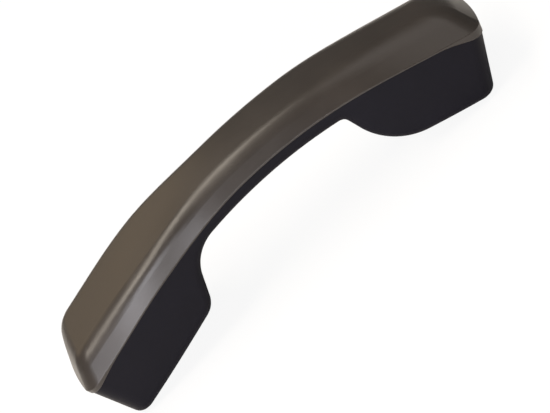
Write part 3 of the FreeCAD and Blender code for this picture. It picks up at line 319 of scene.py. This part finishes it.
def winding(name, colour):
    """Enamelled wire wound in close turns."""
    n = Nodes(name)
    turns = n.bands("Z", 1900.0, distortion=1.2)
    base = n.mix(turns, shade(colour, 0.35), shade(colour, 1.1))
    n.bumps((turns, 0.6, 0.00008))
    return n.set(Base_Color=base, Metallic=0.9, Roughness=n.ramp(n.noise(500.0), 0.3, 0.7, 0.2, 0.34))


def insulation(name, colour):
    """Lead insulation with a slight extruded grain."""
    n = Nodes(name)
    grain = n.noise(700.0, 3.0, 0.6)
    base = n.mix(n.ramp(grain, 0.3, 0.7), shade(colour, 0.8), shade(colour, 1.15))
    n.bumps((grain, 0.2, 0.00004))
    return n.set(Base_Color=base, Roughness=n.ramp(grain, 0.3, 0.7, 0.34, 0.48))


def dress():
    """Give every CAD node that stays its finish."""
    dark = moulded("black_moulding", rgb(28, 28, 29), 0.42, grain=0.3, wear=0.4)
    zinc = metal("zinc_plate", rgb(196, 194, 188), 0.3)
    steel = metal("turned_steel", rgb(172, 172, 174), 0.32, brushed=(1.0, 1.0, 9.0))
    aluminium = metal("pressed_aluminium", rgb(205, 206, 208), 0.28, brushed=(0.2, 3.0, 3.0))
    finish = {
        "outer_cover": moulded("grey_cover", rgb(52, 47, 43), 0.34, grain=0.22, wear=0.2),
        # The black cover gets painted shade along the joint under the grey cover
        "inner_cover": moulded("black_cover", rgb(13, 12, 21), 0.42, grain=0.30, wear=0.25, specular=0.15,
                               painted_seam_shade=True),
        "case_screws": zinc,
        "screw_plugs": moulded("plug_rubber", rgb(24, 24, 25), 0.62, grain=0.6, wear=0.5, specular=0.3,
                               bevel=0.0002),
        "receiver_basket": dark,
        "receiver_front_cover": aluminium,
        "diaphragm_ring": moulded("fibre_ring", rgb(150, 126, 92), 0.7, grain=0.8, wear=0.2),
        "diaphragm": film("amber_film", rgb(214, 190, 128)),
        "voice_coil": winding("copper_winding", rgb(196, 106, 62)),
        "receiver_pole_plate": steel,
        "receiver_magnet": metal("nickel_plate", rgb(200, 196, 186), 0.18),
        "receiver_yoke": steel,
        "receiver_terminal_board": board("small_board", rgb(38, 92, 52)),
        "microphone_boot": moulded("boot_rubber", rgb(30, 30, 31), 0.66, grain=0.7, wear=0.4, specular=0.3),
        "microphone_can": aluminium,
        "microphone_sleeve": moulded("natural_moulding", rgb(214, 208, 190), 0.42, grain=0.2, wear=0.1),
        "microphone_board": board("round_board", rgb(38, 92, 52)),
        "jack_housing": dark,
        "jack_contacts": metal("gold_plate", rgb(224, 190, 110), 0.2),
        "jack_board": board("main_board", rgb(34, 86, 50)),
        "jack_board_screws": zinc,
        "ballast_bar": metal("cut_bar", rgb(118, 116, 114), 0.45, brushed=(0.15, 4.0, 4.0), grain=0.4),
        "ballast_screws": zinc,
        "receiver_wires": insulation("red_lead", rgb(168, 36, 32)),
        "microphone_wires": insulation("yellow_lead", rgb(214, 176, 48)),
    }
    for name, material in finish.items():
        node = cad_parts[name]
        node.data.materials.clear()
        node.data.materials.append(material)


class Station:
    """Axes of one end of the handset, from a point of its top line: along it, and down into the cup."""

    def __init__(self, point, tilt):
        self.point = point
        self.down = Vector((-math.sin(tilt), 0, -math.cos(tilt)))
        self.along = Vector((-self.down.z, 0, self.down.x))

    def corners(self, name):
        """Corners of a CAD node's mesh, as distances along, across and down."""
        gaps = [vertex.co - self.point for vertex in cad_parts[name].data.vertices]
        return [(gap.dot(self.along), gap.y, gap.dot(self.down)) for gap in gaps]

    def round_size(self, name):
        """Radii and depths of the corners of a round CAD node that is centred on the station."""
        corners = self.corners(name)
        return [math.hypot(x, y) for x, y, depth in corners], [depth for x, y, depth in corners]

    def seat(self, mesh):
        """Move a mesh drawn along, across and down to its place on the handset."""
        for v in mesh.verts:
            x, y, depth = v.co
            v.co = self.point + self.along * x + Vector((0, y, 0)) + self.down * depth


def make_piece(name, mesh, material):
    """A smooth piece that rides on the handset."""
    data = bpy.data.meshes.new(name)
    bmesh.ops.recalc_face_normals(mesh, faces=mesh.faces)
    mesh.to_mesh(data)
    mesh.free()
    for face in data.polygons:
        face.use_smooth = True
    data.materials.append(material)
    piece = bpy.data.objects.new(name, data)
    bpy.context.scene.collection.objects.link(piece)
    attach(piece, "handset")
    return piece


def turned(profile, turns, uneven, seed):
    """Closed surface turned from a profile of (radius, depth), a little uneven as cut foam is."""
    chance = random.Random(seed)
    phases = [chance.uniform(0, 2 * math.pi) for _ in range(3)]
    mesh = bmesh.new()
    rings = []
    for i in range(turns):
        turn = 2 * math.pi * i / turns
        swell = sum(math.sin(turn * (3 + 2 * k) + phases[k]) for k in range(3)) * uneven / 3
        rings.append([mesh.verts.new(((r - swell) * math.cos(turn), (r - swell) * math.sin(turn), depth))
                      for r, depth in profile if r > 0])
    count = len(rings[0])
    hollow = profile[0][0] > 0
    for a, b in zip(rings, rings[1:] + rings[:1]):
        for k in range(count if hollow else count - 1):
            mesh.faces.new((a[k], a[(k + 1) % count], b[(k + 1) % count], b[k]))
    if not hollow:
        for end in (0, -1):
            centre = mesh.verts.new((0, 0, profile[end][1]))
            for a, b in zip(rings, rings[1:] + rings[:1]):
                mesh.faces.new((a[end], b[end], centre))
    return mesh


def rim(radius, start, end, round_off):
    """Points round a soft rim from one depth to another. A negative rounding makes an inner rim."""
    return [(radius - round_off, start),
            (radius - round_off * RIM_IN, start + (end - start) * RIM_DEEP),
            (radius, (start + end) / 2),
            (radius - round_off * RIM_IN, end + (start - end) * RIM_DEEP),
            (radius - round_off, end)]


def disc_profile(radius, low, high, rings, round_off):
    """Profile of a flat disc with a soft rim, from the middle of one face to the middle of the other."""
    inside = [radius * (k + 1) / (rings + 1) for k in range(rings)]
    front = [(0.0, high)] + [(r, high) for r in inside]
    back = [(r, low) for r in reversed(inside)] + [(0.0, low)]
    return front + rim(radius, high, low, round_off) + back


def ring_profile(inner, outer, low, high, round_off):
    """Profile of a flat ring with soft edges."""
    middle = (inner + outer) / 2
    return (rim(inner, low, high, -round_off) + [(middle, high)] + rim(outer, high, low, round_off)
            + [(middle, low)])


def foam_block(low, high, seed):
    """Foam block between two corners, drawn in at its cut sides and soft at its edges."""
    chance = random.Random(seed)
    mesh = bmesh.new()
    bmesh.ops.create_cube(mesh, size=1.0)
    bmesh.ops.subdivide_edges(mesh, edges=mesh.edges, cuts=FOAM_CUTS, use_grid_fill=True)
    size = [h - l for l, h in zip(low, high)]
    for v in mesh.verts:
        x, y, z = v.co
        draw = 1 - FOAM_DRAWN_IN * (1 - (2 * z) ** 2)
        x, y = x * draw, y * draw
        near_x, near_y, near_z = (abs(2 * c) ** FOAM_EDGE_POWER for c in (x, y, z))
        soft = 1 - FOAM_SOFT_EDGE * (near_x * near_y + near_z * max(near_x, near_y))
        grain = 1 - FOAM_UNEVEN * chance.random()
        v.co = [l + s / 2 + c * s * soft * grain for l, s, c in zip(low, size, (x, y, z))]
    return mesh


def receiver_pad(ear, foam):
    """Foam block between the back of the receiver and the outer cover."""
    corners = ear.corners("receiver_pad")
    low = [min(corner[k] for corner in corners) for k in range(3)]
    high = [max(corner[k] for corner in corners) for k in range(3)]
    mesh = foam_block(low, high, seed=3)
    ear.seat(mesh)
    pad = make_piece("cut_foam_pad", mesh, foam)
    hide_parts("receiver_pad")


def receiver_gasket(ear, foam):
    """Foam ring between the receiver and the ear seat."""
    radii, depths = ear.round_size("receiver_gasket")
    profile = ring_profile(min(radii), max(radii), min(depths), max(depths), GASKET_ROUND)
    mesh = turned(profile, FINE_TURNS, GASKET_UNEVEN, seed=5)
    ear.seat(mesh)
    gasket = make_piece("foam_gasket", mesh, foam)
    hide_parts("receiver_gasket")


def receiver_cloth(ear):
    """Acoustic cloth stretched over the listening holes."""
    radii, depths = ear.round_size("receiver_cloth")
    radius = max(radii)
    profile = disc_profile(radius, min(depths), max(depths), CLOTH_RINGS, THIN_ROUND)
    mesh = turned(profile, FINE_TURNS, uneven=0.0, seed=7)
    ear.seat(mesh)
    cloth = make_piece("stretched_cloth", mesh, woven("acoustic_cloth", rgb(34, 34, 34)))
    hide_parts("receiver_cloth")


def microphone_felt(mouth):
    """Felt disc between the talking holes and the microphone."""
    radii, depths = mouth.round_size("microphone_felt")
    profile = disc_profile(max(radii), min(depths), max(depths), FELT_RINGS, THIN_ROUND)
    mesh = turned(profile, FELT_TURNS, FELT_UNEVEN, seed=11)
    mouth.seat(mesh)
    felt = make_piece("felt_disc", mesh, soft_foam("felt", rgb(36, 36, 36)))
    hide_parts("microphone_felt")


def soft_pieces():
    """Foam, cloth and felt parts, in place of the plain solids of the same size."""
    ear = Station(EAR_POINT, EAR_TILT)
    receiver_pad(ear, soft_foam("foam", rgb(44, 44, 46)))
    receiver_gasket(ear, soft_foam("gasket_foam", rgb(38, 38, 40)))
    receiver_cloth(ear)
    microphone_felt(Station(MOUTH_POINT, MOUTH_TILT))


def light_box(box):
    """Soft box that faces the handset."""
    data = bpy.data.lights.new(box.name, "AREA")
    data.shape = "RECTANGLE"
    data.size = box.width
    data.size_y = box.height
    data.energy = box.power
    data.color = box.colour
    lamp = bpy.data.objects.new(box.name, data)
    lamp.location = box.place
    lamp.rotation_mode = "QUATERNION"
    lamp.rotation_quaternion = (LIT_POINT - Vector(box.place)).to_track_quat("-Z", "Y")
    bpy.context.scene.collection.objects.link(lamp)


def light():
    """Plain soft studio light: a warm box behind, a cool one in front, and three overhead."""
    world = bpy.data.worlds.new("studio")
    world.use_nodes = True
    background = world.node_tree.nodes["Background"]
    background.inputs["Color"].default_value = WORLD_COLOUR
    background.inputs["Strength"].default_value = WORLD_LEVEL
    bpy.context.scene.world = world
    for box in LIGHT_BOXES:
        light_box(box)


def floor():
    """Pale floor that the camera sees nearly white, with the object's shadow kept."""
    reach = FLOOR_REACH
    mesh = bpy.data.meshes.new("floor")
    mesh.from_pydata([(-reach, -reach, 0), (reach, -reach, 0), (reach, reach, 0), (-reach, reach, 0)], [],
                     [(0, 1, 2, 3)])
    plane = bpy.data.objects.new("floor", mesh)
    bpy.context.scene.collection.objects.link(plane)
    n = Nodes("floor")
    n.set(Base_Color=FLOOR_COLOUR, Roughness=0.9, Specular_IOR_Level=0.1)
    glow = n.add("ShaderNodeEmission", Color=(1, 1, 1, 1), Strength=FLOOR_GLOW)
    share = n.math("MULTIPLY", n.add("ShaderNodeLightPath").outputs["Is Camera Ray"], FLOOR_GLOW_SHARE)
    mix = n.add("ShaderNodeMixShader", Fac=share)
    n.feed(mix.inputs[1], n.shader.outputs[0])
    n.feed(mix.inputs[2], glow.outputs[0])
    n.feed(n.tree.nodes["Material Output"].inputs["Surface"], mix.outputs[0])
    plane.data.materials.append(n.material)


aim_camera()
dress()
soft_pieces()
light()
floor()
bpy.context.scene.view_settings.view_transform = "Standard"
